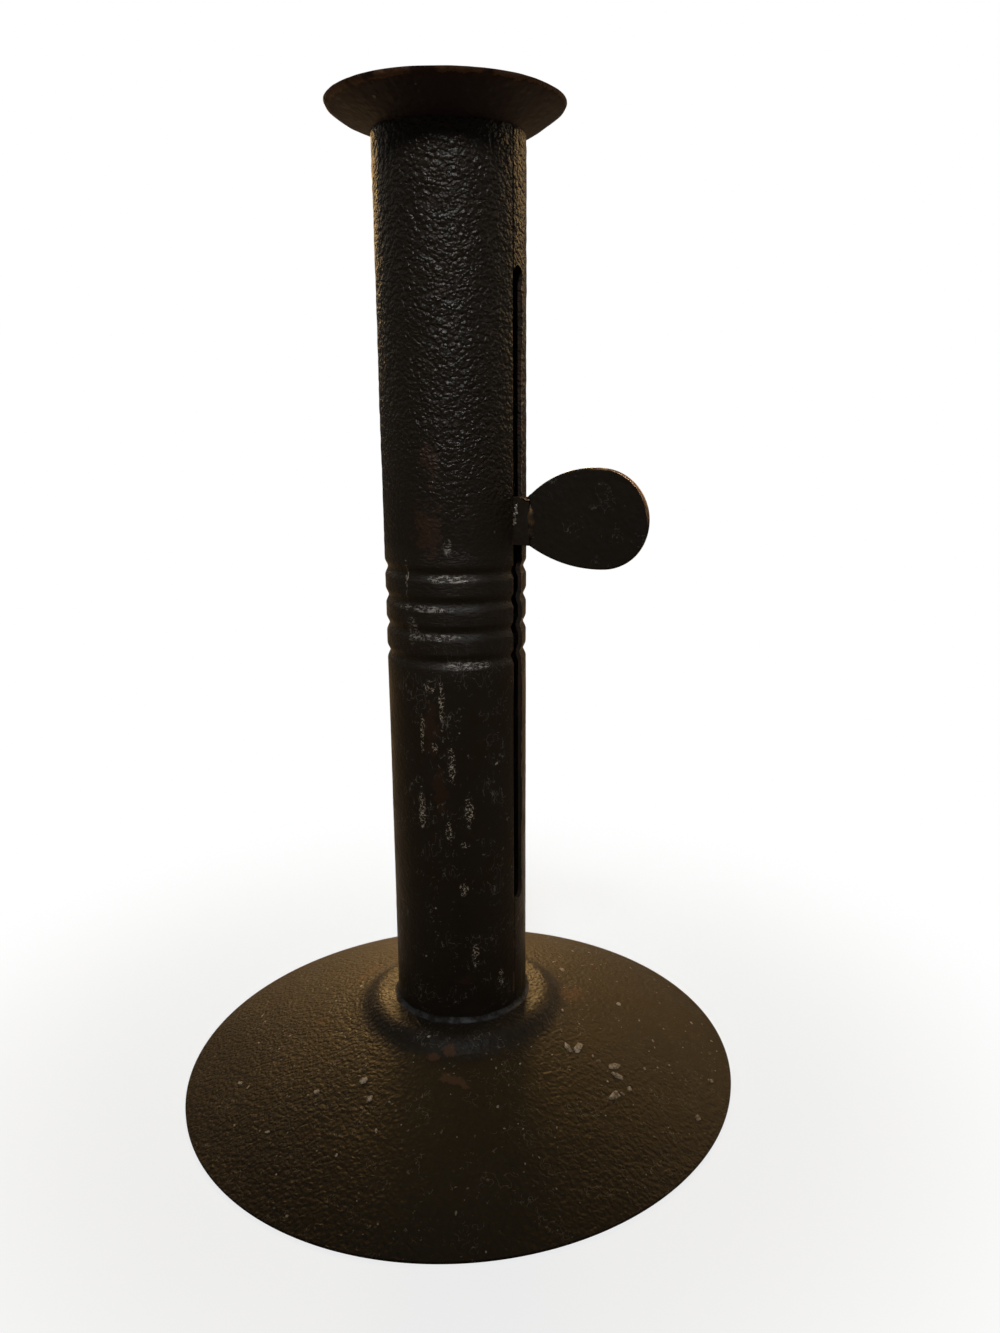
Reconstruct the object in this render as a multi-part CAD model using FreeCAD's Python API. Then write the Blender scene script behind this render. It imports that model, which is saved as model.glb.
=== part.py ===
"""Ejector candlestick of spun and rolled sheet iron: domed base, slotted tube, flared lip and thumb slide.

Millimetres, +Z up. The origin is the centre of the base on the surface that it stands on.
The slot and the thumb tab are on +X.
"""
import FreeCAD
import Part
import math
import os

# Base: a spun dome of thin sheet with a raised hub
base_radius = 54.5
base_sheet = 0.95
rim_edge = 0.5
hub_height = 16.6
hub_flat_radius = 15.9
shoulder_slope = 44.0
shoulder_crest_radius = 3.4
shoulder_flank = 1.3
shoulder_root_radius = 4.0
dome_slope = 16.5
rim_slope = 26.0

# Tube: rolled from sheet, slotted on one side, with four swaged grooves
tube_radius = 12.7
tube_wall = 0.8
groove_count = 4
groove_lowest = 87.0
groove_pitch = 5.1
groove_depth = 0.6
groove_width = 2.6
groove_edge_radius = 1.0
groove_floor_radius = 0.9
slot_width = 3.2
slot_bottom = 39.0
slot_top = 152.5
seam_width = 0.34
foot_flange = 2.5

# Lip: a dished flare whose collar is pressed into the tube's top
total_height = 177.5
lip_radius = 19.6
lip_sheet = 0.6
lip_root_slope = 18.0
lip_rim_slope = 40.0
lip_collar_depth = 10.0

# Fastening of the tube in the base
washer_thickness = 1.2
washer_width = 3.0
washer_bevel = 0.3
solder_height = 1.3
solder_width = 1.2

# Slide: pan, spring collar, thumb tab
slide_clearance = 0.3
pan_clearance = 0.4
collar_sheet = 0.6
collar_bottom = 100.8
neck_middle = 110.9
neck_height = 8.2
neck_reach = 15.3
pan_above_neck = 19.5
pan_sheet = 0.8
pan_depth = 4.0
pan_bend_radius = 1.2
ear_width = 5.0
ear_length = 5.8
rivet_radius = 1.0
rivet_head_radius = 1.9
rivet_head_height = 0.7
rivet_circle_radius = 7.4
tab_thickness = 1.0
tab_insertion = 3.6
tab_reach = 36.9
tab_head_radius = 8.45
tab_upper_flank = 18.0
tab_lower_flank = 24.0
tab_middle = 111.95
tab_root_height = 7.7
tab_bevel = 0.3
braze_radius = 0.9
braze_length = 6.4

# Places that follow from the sizes above
tube_bore = tube_radius - tube_wall
collar_radius = tube_bore - lip_sheet - slide_clearance
pan_radius = tube_bore - lip_sheet - pan_clearance
hub_underside = hub_height - base_sheet
washer_underside = hub_underside - washer_thickness
root_slant = math.radians(lip_root_slope)
rim_slant = math.radians(lip_rim_slope)
flare_radius = (lip_radius - tube_bore) / (math.sin(rim_slant) - math.sin(root_slant))
flare_centre_height = total_height + (flare_radius - lip_sheet) * math.cos(rim_slant)
lip_corner_height = flare_centre_height - flare_radius * math.cos(root_slant)
seat_slant = math.asin(math.sin(root_slant) + tube_wall / flare_radius)
lip_seat_height = flare_centre_height - flare_radius * math.cos(seat_slant)
lip_collar_end = lip_corner_height - lip_collar_depth
neck_top = neck_middle + neck_height / 2
neck_bottom = neck_middle - neck_height / 2
pan_floor = neck_top + pan_above_neck

vertical = FreeCAD.Vector(0, 0, 1)
middle = FreeCAD.Vector(0, 0, 0)


def at(x, z, y=0.0):
    """Point in the upright plane through the axis, x outwards and z up."""
    return FreeCAD.Vector(x, y, z)


class Outline:
    """Open chain of straight runs and tangent bends in the X-Z plane.

    The heading is in degrees from +X towards +Z, and a positive turn goes the same way round.
    """

    def __init__(self, x, z, heading):
        self.x = x
        self.z = z
        self.heading = heading
        self.edges = []

    def direction(self, angle=0.0):
        turned = math.radians(self.heading + angle)
        return at(math.cos(turned), math.sin(turned))

    def move_to(self, point):
        self.x = point.x
        self.z = point.z

    def straight(self, length):
        start = at(self.x, self.z)
        end = start + self.direction() * length
        self.edges.append(Part.makeLine(start, end))
        self.move_to(end)
        return self

    def bend(self, radius, turn):
        side = 90.0 if turn > 0 else -90.0
        start = at(self.x, self.z)
        centre = start + self.direction(side) * radius
        halfway = centre - self.direction(side + turn / 2) * radius
        end = centre - self.direction(side + turn) * radius
        self.edges.append(Part.Arc(start, halfway, end).toShape())
        self.heading += turn
        self.move_to(end)
        return self

    def glide_to(self, x, z, heading):
        """Gentle curve that leaves along the heading and reaches the point along the new heading."""
        start = at(self.x, self.z)
        end = at(x, z)
        third = (end - start).Length / 3
        leave = start + self.direction() * third
        self.heading = heading
        self.edges.append(smooth_curve([start, leave, end - self.direction() * third, end]))
        self.move_to(end)
        return self

    def start(self):
        return self.edges[0].Vertexes[0].Point

    def end(self):
        return at(self.x, self.z)

    def wire(self):
        return Part.Wire(self.edges)


def spun(face):
    """Solid of revolution round the upright axis."""
    return face.revolve(middle, vertical, 360)


def sheet_profile(outline, thickness):
    """Band of even thickness on the left of the outline, seen along its heading."""
    return outline.wire().makeOffset2D(thickness, 0, True, True, False)


def sheet_section(near, far):
    """Section of a sheet between its two sides, cut square at both ends."""
    start = Part.makeLine(near.start(), far.start())
    end = Part.makeLine(near.end(), far.end())
    return Part.Face(Part.Wire(Part.__sortEdges__(near.edges + [end] + far.edges + [start])))


def upright_cylinder(radius, low, high):
    return Part.makeCylinder(radius, high - low, at(0, low), vertical)


def ring(inner, outer, low, high):
    return upright_cylinder(outer, low, high).cut(upright_cylinder(inner, low, high))


def slab(x_low, x_high, y_low, y_high, z_low, z_high):
    corner = FreeCAD.Vector(x_low, y_low, z_low)
    return Part.makeBox(x_high - x_low, y_high - y_low, z_high - z_low, corner)


def polygon(points):
    return Part.Face(Part.makePolygon(points + points[:1]))


def dome_outline(depth):
    """Line at a depth under the dome's top surface, from inside the hub out past the rim."""
    trim = 1.0
    slope = math.radians(rim_slope)
    line = Outline(tube_radius - trim, hub_height - depth, 0)
    line.straight(hub_flat_radius - tube_radius + trim)
    line.bend(shoulder_crest_radius - depth, -shoulder_slope)
    line.straight(shoulder_flank)
    line.bend(shoulder_root_radius + depth, shoulder_slope - dome_slope)
    line.glide_to(base_radius - depth * math.sin(slope), rim_edge - depth * math.cos(slope), -rim_slope)
    return line.straight(base_sheet + trim)


def base_dome():
    """Spun sheet: flat hub, rounded shoulder, then one long curve down to a ground rim."""
    section = sheet_section(dome_outline(0), dome_outline(base_sheet))
    window = slab(tube_radius, base_radius, -1, 1, 0, 2 * hub_height)
    return spun(section.common(window).Faces[0])


def tube_outline():
    """Outer surface from the lip down through the grooves to the flange turned out at the foot."""
    flank_slope = math.degrees(math.atan(2 * groove_depth / groove_width))
    edge_run = groove_edge_radius * math.tan(math.radians(flank_slope / 2))
    floor_run = groove_floor_radius * math.tan(math.radians(flank_slope))
    flank = math.hypot(groove_depth, groove_width / 2) - edge_run - floor_run
    highest = groove_lowest + (groove_count - 1) * groove_pitch
    down = Outline(tube_radius, lip_seat_height, -90)
    down.straight(lip_seat_height - highest - groove_width / 2 - edge_run)
    for groove in range(groove_count):
        down.bend(groove_edge_radius, -flank_slope)
        down.straight(flank)
        down.bend(groove_floor_radius, 2 * flank_slope)
        down.straight(flank)
        down.bend(groove_edge_radius, -flank_slope)
        last = groove == groove_count - 1
        land = down.z - washer_underside if last else groove_pitch - groove_width - 2 * edge_run
        down.straight(land)
    down.heading = 0
    down.straight(foot_flange)
    return down


def slot_cutter():
    """Long slot with round ends through the wall on +X."""
    half = slot_width / 2
    inside = tube_bore / 2
    reach = tube_radius - inside + slot_width
    cutter = slab(inside, inside + reach, -half, half, slot_bottom + half, slot_top - half)
    for height in (slot_bottom + half, slot_top - half):
        end = Part.makeCylinder(half, reach, at(inside, height), FreeCAD.Vector(1, 0, 0))
        cutter = cutter.fuse(end)
    return cutter


def seam_cutter():
    """V-shaped line where the edges of the rolled sheet meet, level with one edge of the slot."""
    half = seam_width / 2
    line = tube_radius
    low = hub_height
    face = polygon([at(line - half, low), at(line + half, low, half), at(line + half, low, -half)])
    groove = face.extrude(vertical * (lip_seat_height - low))
    groove.rotate(middle, vertical, -math.degrees(math.asin(slot_width / 2 / tube_radius)))
    return groove


def lip_outline(depth):
    """Line at a depth inside the lip's outer side: up the collar, then out along the dished flare."""
    radius = flare_radius - depth
    slant = math.asin((flare_radius * math.sin(root_slant) - depth) / radius)
    line = Outline(tube_bore - depth, lip_collar_end, 90)
    line.straight(flare_centre_height - radius * math.cos(slant) - lip_collar_end)
    line.heading = math.degrees(slant)
    return line.bend(radius, lip_rim_slope - line.heading)


def lip_seat_cutter():
    """Everything inside and above the lip's underside, which bevels the tube's top edge."""
    under = lip_outline(0)
    foot = under.start()
    inside = Part.makePolygon([at(under.x, under.z), at(0, under.z), at(0, foot.z), foot])
    return spun(Part.Face(Part.Wire(under.edges + inside.Edges)))


def shaft_tube():
    wall = spun(sheet_profile(tube_outline(), -tube_wall))
    wall = wall.cut(slot_cutter())
    wall = wall.cut(seam_cutter())
    return wall.cut(lip_seat_cutter())


def lip_pan():
    """Collar inside the tube, then a flare that rises more steeply towards its thin rim."""
    return spun(sheet_section(lip_outline(0), lip_outline(lip_sheet)))


def foot_washer():
    washer = ring(tube_radius, tube_radius + washer_width, washer_underside, hub_underside)
    outer_edges = [edge for edge in washer.Edges if edge.Length > 2 * math.pi * (tube_radius + washer_bevel)]
    return washer.makeChamfer(washer_bevel, outer_edges)


def foot_solder():
    """Fillet of solder in the corner between the tube and the hub."""
    corner = at(tube_radius, hub_height)
    top = at(tube_radius, hub_height + solder_height)
    toe = at(tube_radius + solder_width, hub_height)
    return spun(polygon([corner, toe, top]))


def rivet_places():
    return [FreeCAD.Vector(0, side * rivet_circle_radius, 0) for side in (-1, 1)]


def rivet_holes():
    holes = []
    for place in rivet_places():
        foot = place + at(0, pan_floor - 2 * collar_sheet)
        holes.append(Part.makeCylinder(rivet_radius, pan_sheet + 4 * collar_sheet, foot, vertical))
    return holes


def candle_pan():
    """Shallow cup with a turned-up rim, on which the candle stands."""
    inner_bend = pan_bend_radius
    under = Outline(0, pan_floor, 0)
    under.straight(pan_radius - inner_bend)
    under.bend(inner_bend, 90)
    under.straight(pan_depth - inner_bend)
    cup = spun(sheet_profile(under, pan_sheet))
    for hole in rivet_holes():
        cup = cup.cut(hole)
    return cup


def slide_collar():
    """Spring band round the inside of the tube, with both ends turned out through the slot as lugs."""
    inner = collar_radius - collar_sheet
    half_gap = tab_thickness / 2
    band = ring(inner, collar_radius, collar_bottom, pan_floor)
    band = band.cut(slab(0, 2 * collar_radius, -half_gap, half_gap, collar_bottom, pan_floor))
    for side in (-1, 1):
        near = side * half_gap
        far = side * (half_gap + collar_sheet)
        low, high = sorted((near, far))
        lug = slab(inner, neck_reach, low, high, neck_bottom, neck_top)
        band = band.fuse(lug)
        ear_low, ear_high = sorted((side * (inner + collar_sheet / 2), side * (inner - ear_length)))
        ear = slab(-ear_width / 2, ear_width / 2, ear_low, ear_high, pan_floor - collar_sheet, pan_floor)
        band = band.fuse(ear)
    for hole in rivet_holes():
        band = band.cut(hole)
    return band.removeSplitter()


def pan_rivets():
    """Two rivets with bevelled heads that join the pan's floor to the ears of the collar."""
    low = pan_floor - collar_sheet
    high = pan_floor + pan_sheet
    head_top = rivet_head_radius - rivet_head_height
    section = polygon([
        at(0, low - rivet_head_height),
        at(head_top, low - rivet_head_height),
        at(rivet_head_radius, low),
        at(rivet_radius, low),
        at(rivet_radius, high),
        at(rivet_head_radius, high),
        at(head_top, high + rivet_head_height),
        at(0, high + rivet_head_height),
    ])
    rivet = spun(section)
    return Part.makeCompound([rivet.translated(place) for place in rivet_places()])


def tab_flank(root, head, radius, side):
    """Arc that leaves the neck and runs smoothly into the round head; also the point where they meet."""
    gap = root - head
    reach = radius - tab_head_radius
    along = (reach ** 2 - radius ** 2 + gap.Length ** 2) / (2 * gap.Length)
    across = math.sqrt(reach ** 2 - along ** 2)
    toward = gap * (1 / gap.Length)
    pivot = head + toward * along + at(-toward.z, toward.x) * (side * across)
    meeting = pivot + (head - pivot) * (radius / reach)
    chord_middle = (root + meeting) * 0.5 - pivot
    halfway = pivot + chord_middle * (radius / chord_middle.Length)
    return Part.Arc(root, halfway, meeting).toShape(), meeting


def thumb_tab():
    """Egg-shaped plate in the plane of the slot: narrow at the neck, round at the outer end."""
    root = neck_reach - braze_radius
    inner_end = neck_reach - tab_insertion
    root_low = at(root, neck_middle - tab_root_height / 2)
    root_high = at(root, neck_middle + tab_root_height / 2)
    head = at(tab_reach - tab_head_radius, tab_middle)
    upper, crown = tab_flank(root_high, head, tab_upper_flank, 1)
    lower, keel = tab_flank(root_low, head, tab_lower_flank, -1)
    end = Part.Arc(crown, at(tab_reach, tab_middle), keel).toShape()
    neck = Part.makePolygon([root_high, at(inner_end, root_high.z), at(inner_end, root_low.z), root_low])
    outline = Part.Wire(Part.__sortEdges__([upper, end, lower] + neck.Edges))
    plate = Part.Face(outline).extrude(FreeCAD.Vector(0, tab_thickness, 0))
    plate.translate(FreeCAD.Vector(0, -tab_thickness / 2, 0))
    return plate.makeChamfer(tab_bevel, [edge for edge in plate.Edges if is_tab_rim(edge)])


def is_tab_rim(edge):
    """True for a curved edge of one face of the plate, past the neck."""
    box = edge.BoundBox
    return box.XMax > neck_reach and box.XLength > tab_bevel and box.YLength < tab_bevel


def tab_braze():
    """A bead of braze on each side, in the corner where a lug ends on the plate."""
    half = braze_length / 2
    low = at(neck_reach, neck_middle - half)
    high = at(neck_reach, neck_middle + half)
    bulge = Part.Arc(low, at(neck_reach + braze_radius, neck_middle), high).toShape()
    section = Part.Face(Part.Wire([bulge, Part.makeLine(high, low)]))
    beads = []
    for side in (-1, 1):
        offset = FreeCAD.Vector(0, side * tab_thickness / 2, 0)
        beads.append(section.translated(offset).revolve(low + offset, vertical, side * 90))
    return Part.makeCompound(beads)


def smooth_curve(poles):
    curve = Part.BezierCurve()
    curve.setPoles(poles)
    return curve.toShape()


def main():
    os.makedirs("parts", exist_ok=True)
    nodes = {
        "base_dome": base_dome(),
        "shaft_tube": shaft_tube(),
        "lip_pan": lip_pan(),
        "foot_washer": foot_washer(),
        "foot_solder": foot_solder(),
        "candle_pan": candle_pan(),
        "slide_collar": slide_collar(),
        "pan_rivets": pan_rivets(),
        "thumb_tab": thumb_tab(),
        "tab_braze": tab_braze(),
    }
    for name, shape in nodes.items():
        print(name, len(shape.Solids), round(shape.Volume, 2), shape.isValid(), shape.BoundBox)
        shape.exportStep("parts/" + name + ".step")


main()
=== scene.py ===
"""Finished look of a sheet-iron candlestick with a thumb slide: worn japan, rust, paint specks and braze."""
import math
import random

import bmesh
import bpy
from mathutils import Matrix, Vector, noise
from mathutils.bvhtree import BVHTree


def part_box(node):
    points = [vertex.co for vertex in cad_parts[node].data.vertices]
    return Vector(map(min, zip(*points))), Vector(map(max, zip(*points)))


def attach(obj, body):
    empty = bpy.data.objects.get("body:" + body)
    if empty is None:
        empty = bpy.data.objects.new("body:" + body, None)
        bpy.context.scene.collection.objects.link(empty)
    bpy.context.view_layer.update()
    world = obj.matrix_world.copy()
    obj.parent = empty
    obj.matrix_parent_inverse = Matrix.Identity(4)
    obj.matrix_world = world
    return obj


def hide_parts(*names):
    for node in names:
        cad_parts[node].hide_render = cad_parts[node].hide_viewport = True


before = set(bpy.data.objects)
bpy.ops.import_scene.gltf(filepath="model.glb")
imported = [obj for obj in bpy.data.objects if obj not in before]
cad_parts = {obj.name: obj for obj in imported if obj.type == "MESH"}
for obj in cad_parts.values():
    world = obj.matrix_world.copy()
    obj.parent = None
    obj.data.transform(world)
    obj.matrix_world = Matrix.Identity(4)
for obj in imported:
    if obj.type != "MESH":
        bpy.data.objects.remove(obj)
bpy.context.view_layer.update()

bl_info = {
    "name": "Sheet-iron Candlestick",
    "version": (1, 0, 0),
    "blender": (4, 5, 0),
    "location": "View3D > Sidebar > Candlestick",
    "description": "Models a domed candlestick with a thumb slide and gives it a worn black finish",
    "category": "Add Mesh",
}

BASE_LOW, BASE_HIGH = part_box("base_dome")
TUBE_LOW, TUBE_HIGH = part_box("shaft_tube")
LIP_LOW, LIP_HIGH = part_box("lip_pan")
SOLDER_LOW, SOLDER_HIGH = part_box("foot_solder")
TAB_LOW, TAB_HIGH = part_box("thumb_tab")
BRAZE_LOW, BRAZE_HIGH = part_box("tab_braze")
MM = 0.001
COLLAR_SHEET = 0.6 * MM
NECK_TOP = 115.0 * MM
HIGHEST_GROOVE = 3
PEBBLES_START = 100.0 * MM
LIP_SEAT = 13.2 * MM

# Ragged marks, each given by its middle and its reach along X, Y and Z in millimetres
TUBE_RUST = (
    ((2.7, -12.4, 121.5), (2.0, 1.5, 3.0)), ((2.3, -12.5, 110.0), (3.0, 1.6, 5.5)),
    ((1.7, -12.6, 75.0), (1.6, 1.5, 6.5)), ((3.2, -12.2, 63.0), (1.6, 1.5, 5.0)),
    ((7.0, -10.6, 25.0), (1.4, 1.3, 1.2)), ((12.5, -2.3, 29.0), (0.7, 0.7, 4.5)))
TUBE_PAINT = (
    ((1.8, -12.6, 82.7), (1.6, 1.2, 1.6)), ((2.4, -12.5, 71.6), (0.7, 0.7, 1.1)),
    ((0.0, -12.7, 74.3), (0.5, 0.7, 4.4)), ((-0.4, -12.7, 60.0), (0.8, 0.7, 4.8)),
    ((5.3, -11.5, 68.4), (0.7, 0.7, 4.6)), ((7.8, -10.0, 58.9), (1.1, 0.9, 3.4)),
    ((7.1, -10.5, 52.9), (1.1, 1.1, 0.7)), ((6.9, -10.7, 44.0), (0.9, 0.9, 1.4)),
    ((8.5, -9.4, 30.4), (0.7, 0.8, 2.6)), ((11.6, -5.2, 24.4), (0.9, 0.9, 2.2)),
    ((3.7, -12.1, 80.0), (0.6, 0.8, 5.0)), ((-2.6, -12.4, 101.2), (0.35, 0.8, 3.2)),
    ((4.6, -11.8, 55.5), (0.7, 0.8, 2.4)))
# Silvery patches on the grooves: rubbed iron, laid on the grooves' upper flanks as a painted highlight.
GROOVE_SILVER_AND_HIGHLIGHTS = (
    ((5.6, -11.3, 101.6), (5.0, 4.0, 0.9)), ((1.0, -12.6, 96.3), (6.5, 4.0, 0.7)),
    ((2.0, -12.6, 91.4), (6.5, 4.0, 0.7)), ((8.0, -9.8, 86.3), (6.5, 5.0, 0.9)),
    ((-1.5, -12.6, 92.5), (1.6, 2.0, 3.0)), ((5.3, -11.6, 107.0), (0.9, 1.0, 1.8)))
BASE_RUST = (
    ((7.5, -17.8, 14.6), (1.5, 1.2, 1.6)), ((5.2, -19.6, 14.0), (1.6, 1.0, 1.4)),
    ((10.8, -22.4, 12.3), (3.4, 1.2, 1.2)))
# Faint orange marks: the two long ones lie on the shoulder's root behind the tube and are a painted
# highlight; the small one is rust.
BASE_FAINT_RUST_AND_HIGHLIGHT = (
    ((-24.0, 2.0, 12.6), (1.4, 6.0, 2.0)), ((19.0, 12.0, 13.0), (3.0, 5.0, 2.0)),
    ((-23.0, -16.2, 11.3), (1.6, 1.6, 1.0)))

# Larger paint flakes on the dome: X, Y, length and width in millimetres, turn in degrees
PAINT_FLAKES = (
    (26.9, -2.6, 2.6, 1.3, 10), (25.4, -4.0, 2.4, 0.9, 75), (34.0, -1.6, 2.4, 1.1, -40),
    (35.4, -3.4, 2.2, 0.9, -70), (36.7, -8.0, 2.3, 1.4, 0), (38.2, -4.6, 1.0, 0.8, 30),
    (49.2, 11.6, 1.3, 0.8, -60), (50.4, -0.3, 1.2, 0.9, 20), (-4.6, -28.4, 1.4, 1.1, 60),
    (-1.2, -31.2, 1.0, 1.3, 0), (-12.0, -32.4, 1.1, 0.9, 0), (-30.4, -32.2, 1.1, 0.6, 40),
    (12.5, 21.0, 1.3, 1.0, 0), (27.0, 17.8, 1.0, 0.8, 0))
FLAKE_GROWTH = 1.25
CRUMBS = 260

WARM = (1.0, 0.60, 0.22)
PALE = (1.0, 0.85, 0.66)
WHITE = (1.0, 1.0, 1.0)
# Name, place, width and height, watts, spread in degrees, height on the axis that it aims at, tint
LIGHTS = (
    ("behind", (-0.30, 0.52, 0.34), (0.14, 0.12), 2.3, 180, 0.03, WARM),
    ("behind_left", (-0.45, 0.40, 0.35), (0.30, 0.24), 0.8, 180, 0.05, WARM),
    ("behind_right", (0.15, 0.58, 0.35), (0.30, 0.24), 0.5, 180, 0.05, WARM),
    ("side_left", (-0.58, 0.15, 0.35), (0.30, 0.24), 0.09, 180, 0.08, PALE),
    ("side_right", (0.40, 0.45, 0.35), (0.30, 0.24), 0.20, 180, 0.08, PALE),
    ("front", (0.18, -0.40, 0.66), (0.10, 0.10), 0.036, 16, 0.13, WHITE))


def length(name, description, millimetres):
    return bpy.props.FloatProperty(
        name=name, description=description, default=millimetres * MM, unit="LENGTH", precision=5)


def slope(name, description, degrees):
    return bpy.props.FloatProperty(
        name=name, description=description, default=math.radians(degrees), unit="ROTATION")


def colour(name, description, default):
    return bpy.props.FloatVectorProperty(
        name=name, description=description, default=default, size=3, subtype="COLOR", min=0.0, max=1.0)


class TubeSizes(bpy.types.PropertyGroup):
    """Rolled tube with a slot and four swaged grooves."""
    radius: length("Radius", "Outside radius of the tube", 12.7)
    wall: length("Wall", "Thickness of the rolled sheet", 0.8)
    groove_lowest: length("Lowest groove", "Height of the lowest swaged groove", 87.0)
    groove_pitch: length("Groove pitch", "Distance from groove to groove", 5.1)
    groove_depth: length("Groove depth", "Depth of the groove's sharp form", 0.6)
    groove_width: length("Groove width", "Width of a groove at the surface", 2.6)
    slot_width: length("Slot width", "Width of the slot that the thumb slide runs in", 3.2)
    slot_low: length("Slot foot", "Height of the slot's lower end", 39.0)
    slot_high: length("Slot head", "Height of the slot's upper end", 152.5)
    seam_width: length("Seam width", "Width of the line where the sheet's edges meet", 0.34)
    row: length("Row", "Height of one row of faces outside", 0.5)


class BaseSizes(bpy.types.PropertyGroup):
    """Spun dome with a raised hub."""
    radius: length("Radius", "Radius at the rim", 54.5)
    sheet: length("Sheet", "Thickness of the spun sheet", 0.95)
    hole_radius: length("Hole radius", "Radius of the hole that the tube stands in", 12.7)
    rim_edge: length("Rim edge", "Height of the ground edge at the rim", 0.5)
    hub_radius: length("Hub radius", "Radius of the flat round the tube's foot", 15.9)
    crest_radius: length("Crest radius", "Rounding at the top of the shoulder", 3.4)
    flank: length("Flank", "Straight part of the shoulder", 1.3)
    root_radius: length("Root radius", "Rounding at the foot of the shoulder", 4.0)
    shoulder_slope: slope("Shoulder slope", "Slope of the shoulder", 44.0)
    dome_slope: slope("Dome slope", "Slope of the dome where the shoulder ends", 16.5)
    rim_slope: slope("Rim slope", "Slope of the dome at the rim", 26.0)


class LipSizes(bpy.types.PropertyGroup):
    """Dished lip pressed into the tube's top."""
    radius: length("Radius", "Radius at the rim", 19.8)
    sheet: length("Sheet", "Thickness of the lip's sheet", 0.6)
    bent_up: slope("Bent up", "Angle that one side of the flare is bent up by", 1.8)
    bent_toward: slope("Bent toward", "Direction of the flare's highest side, round the axis", -26.0)
    knocked: length("Knocked aside", "How far the rim stands out of centre", 0.35)
    knocked_toward: slope("Knocked toward", "Direction that the rim is out of centre", 210.5)
    root_slope: slope("Root slope", "Slope of the flare at the tube", 18.0)
    rim_slope: slope("Rim slope", "Slope of the flare at the rim", 40.0)


class SlideSizes(bpy.types.PropertyGroup):
    """Thumb tab and the neck that carries it."""
    tab_thickness: length("Tab thickness", "Thickness of the thumb tab", 1.0)
    head_radius: length("Head radius", "Radius of the tab's round end", 8.45)
    upper_flank: length("Upper flank", "Radius of the tab's upper side", 18.0)
    lower_flank: length("Lower flank", "Radius of the tab's lower side", 24.0)
    root_height: length("Root height", "Height of the tab where it leaves the neck", 7.7)
    tab_middle: length("Tab middle", "Height of the middle of the tab's head", 111.95)
    bead_radius: length("Bead radius", "Radius of the braze beads", 0.9)


class StageSizes(bpy.types.PropertyGroup):
    """Camera and lights."""
    distance: length("Camera distance", "Distance of the camera from the upright axis", 192.7)
    height: length("Camera height", "Height of the camera", 131.1)
    azimuth: slope("Azimuth", "Direction of the camera round the candlestick", 30.5)
    pitch: slope("Pitch", "Angle that the camera looks down", 15.343)
    yaw: slope("Yaw", "Angle that the camera looks past the axis", 5.38)
    roll: slope("Roll", "Tilt of the camera", 0.502)
    focal: bpy.props.FloatProperty(
        name="Focal length", description="In pixels of the photograph", default=1063.1)
    centre_x: bpy.props.FloatProperty(name="Centre X", description="Optical centre in pixels", default=554.5)
    centre_y: bpy.props.FloatProperty(name="Centre Y", description="Optical centre in pixels", default=692.4)
    photo_width: bpy.props.IntProperty(name="Photo width", description="Pixels across", default=1000)
    photo_height: bpy.props.IntProperty(name="Photo height", description="Pixels down", default=1333)


class FinishColours(bpy.types.PropertyGroup):
    """Colours of the finish, as seen under white light."""
    japan: colour("Japan", "Black japan", (0.0142, 0.0112, 0.0080))
    lip_japan: colour("Lip japan", "Black japan on the lip's underside", (0.040, 0.027, 0.038))
    japan_brown: colour("Brown japan", "Thin japan that the iron shows through", (0.016, 0.010, 0.0050))
    olive: colour("Olive japan", "Aged japan on the base", (0.042, 0.0275, 0.0072))
    rust: colour("Rust", "Rust blooms", (0.040, 0.0155, 0.0065))
    rust_bright: colour("Bright rust", "Fresh rust and scraped primer", (0.16, 0.075, 0.036))
    rust_dark: colour("Dark rust", "Old rust", (0.014, 0.0070, 0.0040))
    bare: colour("Bare iron", "Iron where the japan has rubbed off", (0.26, 0.24, 0.21))
    # Coppery colour: rubbed metal on the slot's edges, and a painted highlight on the tab's edge, the lip's
    # rim and the neck's top edge.
    copper: colour("Coppery edge", "Warm metal on rubbed edges", (0.30, 0.165, 0.085))
    cream: colour("Cream paint", "Old paint specks", (0.52, 0.45, 0.35))
    braze: colour("Braze", "Brass braze at the neck", (0.10, 0.060, 0.022))
    solder: colour("Solder", "Grey solder at the foot", (0.060, 0.062, 0.064))


class Profile:
    """Chain of points in the X-Z plane made of straight runs, bends and glides.

    Angles are in radians from +X to +Z.
    """

    def __init__(self, x, z, heading, spacing):
        self.points = [Vector((x, 0.0, z))]
        self.heading = heading
        self.spacing = spacing

    def ahead(self, angle=0.0):
        return Vector((math.cos(self.heading + angle), 0.0, math.sin(self.heading + angle)))

    def straight(self, run):
        start = self.points[-1]
        count = max(1, round(run / self.spacing))
        self.points += [start + self.ahead() * (run * step / count) for step in range(1, count + 1)]
        return self

    def bend(self, radius, turn):
        side = math.copysign(math.pi / 2, turn)
        centre = self.points[-1] + self.ahead(side) * radius
        count = max(3, round(radius * abs(turn) / self.spacing))
        for step in range(1, count + 1):
            self.points.append(centre - self.ahead(side + turn * step / count) * radius)
        self.heading += turn
        return self

    def glide(self, x, z, heading):
        """Gentle curve to a point, leaving along one heading and arriving along the other."""
        start = self.points[-1].copy()
        end = Vector((x, 0.0, z))
        third = (end - start).length / 3
        leave = start + self.ahead() * third
        self.heading = heading
        arrive = end - self.ahead() * third
        count = max(2, round(3 * third / self.spacing))
        for step in range(1, count + 1):
            t = step / count
            u = 1 - t
            near_start = start * u ** 3 + leave * (3 * u * u * t)
            self.points.append(near_start + arrive * (3 * u * t * t) + end * t ** 3)
        return self


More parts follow.
